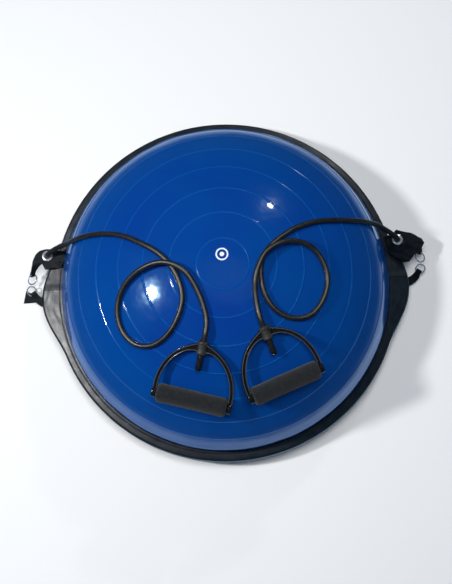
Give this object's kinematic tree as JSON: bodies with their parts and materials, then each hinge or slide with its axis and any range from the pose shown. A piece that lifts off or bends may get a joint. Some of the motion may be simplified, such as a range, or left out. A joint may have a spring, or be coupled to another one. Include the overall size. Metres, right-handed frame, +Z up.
{
  "type": "balance dome trainer",
  "caption": "Air-filled half-dome balance trainer on a flat round platform with carrying ears, rubber feet and clip-on resistance tubes ending in foam-grip handles.",
  "frame": {"origin": "on the floor under the centre of the round platform, at the bottom of its feet", "axes": "+X towards the right ear as seen by the user, +Y away from the user and the handles, +Z up through the dome's apex"},
  "size_m": [0.7052, 0.6, 0.2536],
  "materials": {
    "dome_pvc": "glossy inflated PVC, royal blue, fine ring ribs",
    "rim_band": "satin black flexible PVC with soft moulded waves",
    "platform_plastic": "fine moulded grain",
    "screw_steel": "zinc plated",
    "moulded_rubber": "matt black",
    "tube_rubber": "satin black extruded latex",
    "webbing": "black woven nylon webbing",
    "chrome_wire": "bright plated",
    "handle_plastic": "glossy black moulding",
    "grip_foam": "matt closed-cell foam"
  },
  "bodies": {
    "root": {"dome_skin": "dome_pvc", "platform_plate": "platform_plastic", "clamp_ring": "platform_plastic", "clamp_screw_1": "screw_steel", "clamp_screw_2": "screw_steel", "clamp_screw_3": "screw_steel", "clamp_screw_4": "screw_steel", "clamp_screw_5": "screw_steel", "clamp_screw_6": "screw_steel", "clamp_screw_7": "screw_steel", "clamp_screw_8": "screw_steel", "clamp_screw_9": "screw_steel", "clamp_screw_10": "screw_steel", "clamp_screw_11": "screw_steel", "clamp_screw_12": "screw_steel", "foot_1": "moulded_rubber", "foot_2": "moulded_rubber", "foot_3": "moulded_rubber", "foot_4": "moulded_rubber", "foot_5": "moulded_rubber", "foot_6": "moulded_rubber", "valve_seat": "moulded_rubber", "rim_band_rear": "rim_band", "rim_band_front": "rim_band", "left_strap": "webbing", "left_eyelet": "chrome_wire", "left_tube_stop": "moulded_rubber", "left_anchor_tab": "webbing", "left_anchor_screw": "screw_steel", "left_tube": "tube_rubber", "right_strap": "webbing", "right_eyelet": "chrome_wire", "right_tube_stop": "moulded_rubber", "right_anchor_tab": "webbing", "right_anchor_screw": "screw_steel", "right_tube": "tube_rubber"},
    "left_handle": {"left_handle_bow": "handle_plastic", "left_tube_tail": "tube_rubber", "left_tail_plug": "moulded_rubber"},
    "left_grip": {"left_grip_core": "handle_plastic", "left_foam_grip": "grip_foam"},
    "left_snap": {"left_snap_ring": "chrome_wire"},
    "left_gate": {"left_snap_gate": "chrome_wire"},
    "left_d_ring": {"left_d_ring": "chrome_wire"},
    "right_handle": {"right_handle_bow": "handle_plastic", "right_tube_tail": "tube_rubber", "right_tail_plug": "moulded_rubber"},
    "right_grip": {"right_grip_core": "handle_plastic", "right_foam_grip": "grip_foam"},
    "right_snap": {"right_snap_ring": "chrome_wire"},
    "right_gate": {"right_snap_gate": "chrome_wire"},
    "right_d_ring": {"right_d_ring": "chrome_wire"},
    "valve_plug": {"valve_plug": "moulded_rubber"}
  },
  "joints": [
    {"name": "left_handle_lift", "type": "hinge", "parent": "root", "child": "left_handle", "pos_m": [-0.03373, -0.11899, 0.23069], "axis": [-0.9644, 0.2644, -0.0029], "range_deg": [0, 60]},
    {"name": "left_grip_spin", "type": "hinge", "parent": "left_handle", "child": "left_grip", "pos_m": [-0.05819, -0.20868, 0.18969], "axis": [-0.9644, 0.2644, -0.0029], "continuous": true},
    {"name": "left_snap_swing", "type": "hinge", "parent": "root", "child": "left_snap", "pos_m": [-0.33901, 0.03931, 0.02737], "axis": [-0.7163, -0.3302, 0.6147], "range_deg": [-4, 4]},
    {"name": "left_gate_open", "type": "hinge", "parent": "left_snap", "child": "left_gate", "pos_m": [-0.34539, 0.02521, 0.02389], "axis": [-0.6917, 0.4522, -0.5631], "range_deg": [0, 25], "stiffness_Nm_per_rad": 0.01, "springref_deg": -5.73},
    {"name": "left_d_ring_swing", "type": "hinge", "parent": "root", "child": "left_d_ring", "pos_m": [-0.33993, 0.00875, 0.01049], "axis": [0.8489, 0.5279, 0.0261], "range_deg": [-4, 4]},
    {"name": "right_handle_lift", "type": "hinge", "parent": "root", "child": "right_handle", "pos_m": [0.05855, -0.09965, 0.23286], "axis": [-0.9283, -0.3688, 0.0476], "range_deg": [0, 60]},
    {"name": "right_grip_spin", "type": "hinge", "parent": "right_handle", "child": "right_grip", "pos_m": [0.09182, -0.18819, 0.19578], "axis": [-0.9283, -0.3688, 0.0476], "continuous": true},
    {"name": "right_snap_swing", "type": "hinge", "parent": "root", "child": "right_snap", "pos_m": [0.34383, 0.05139, 0.02922], "axis": [-0.7712, 0.2916, -0.5659], "range_deg": [-4, 4]},
    {"name": "right_gate_open", "type": "hinge", "parent": "right_snap", "child": "right_gate", "pos_m": [0.33966, 0.0417, 0.01737], "axis": [0.6299, 0.478, -0.6121], "range_deg": [0, 25], "stiffness_Nm_per_rad": 0.01, "springref_deg": -5.73},
    {"name": "right_d_ring_swing", "type": "hinge", "parent": "root", "child": "right_d_ring", "pos_m": [0.34294, 0.02178, 0.01049], "axis": [-0.8328, 0.553, 0.0252], "range_deg": [-4, 4]},
    {"name": "valve_pull", "type": "slide", "parent": "root", "child": "valve_plug", "axis": [0, 0, -1], "range_m": [0, 0.02]}
  ]
}
